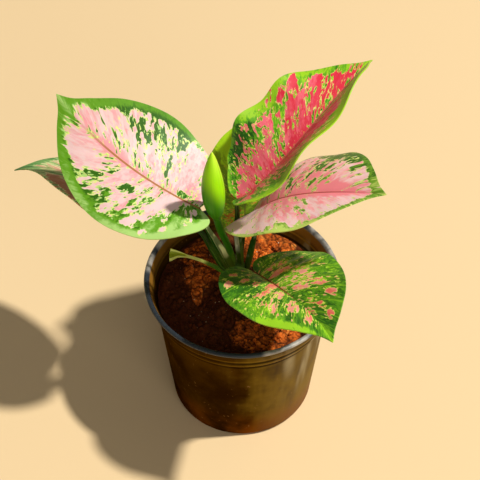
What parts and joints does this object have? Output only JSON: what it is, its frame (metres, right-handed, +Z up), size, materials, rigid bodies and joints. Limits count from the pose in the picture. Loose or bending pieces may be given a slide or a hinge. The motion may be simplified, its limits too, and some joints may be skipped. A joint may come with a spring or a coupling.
{
  "type": "potted chinese evergreen",
  "caption": "Young chinese evergreen with broad variegated leaves and a closed flower bud, standing in soil in a round plastic nursery pot.",
  "frame": {"origin": "centre of the pot's underside, on the flat pad level with the foot ring, where the pot stands on a surface", "axes": "+Z up along the pot's axis, -Y towards the side with the front leaf, +X towards the pink right leaf"},
  "size_m": [0.1882, 0.1391, 0.2082],
  "materials": {
    "pot_plastic": "thin dark brown black plastic, semi-gloss, dusty",
    "soil": "crumbly orange brown potting soil, rough",
    "stem": "green stem, satin",
    "leaf_pale_pink": "waxy leaf, pale pink with green border and flecks",
    "leaf_green": "waxy leaf, green with pink blotches",
    "leaf_back": "waxy leaf, yellow green",
    "leaf_crimson": "waxy leaf, crimson with green border and flecks",
    "leaf_salmon": "waxy leaf, salmon pink with green border",
    "bud": "smooth waxy lime green spathe",
    "petiole": "yellow green cut petiole, satin"
  },
  "bodies": {
    "root": {"pot": "pot_plastic", "soil": "soil", "stem": "stem", "leaf_left_large": "leaf_pale_pink", "leaf_left_lower": "leaf_green", "leaf_back": "leaf_back", "leaf_upper_right": "leaf_crimson", "leaf_right": "leaf_salmon", "leaf_front": "leaf_green", "flower_bud": "bud", "cut_petiole": "petiole"}
  },
  "joints": []
}
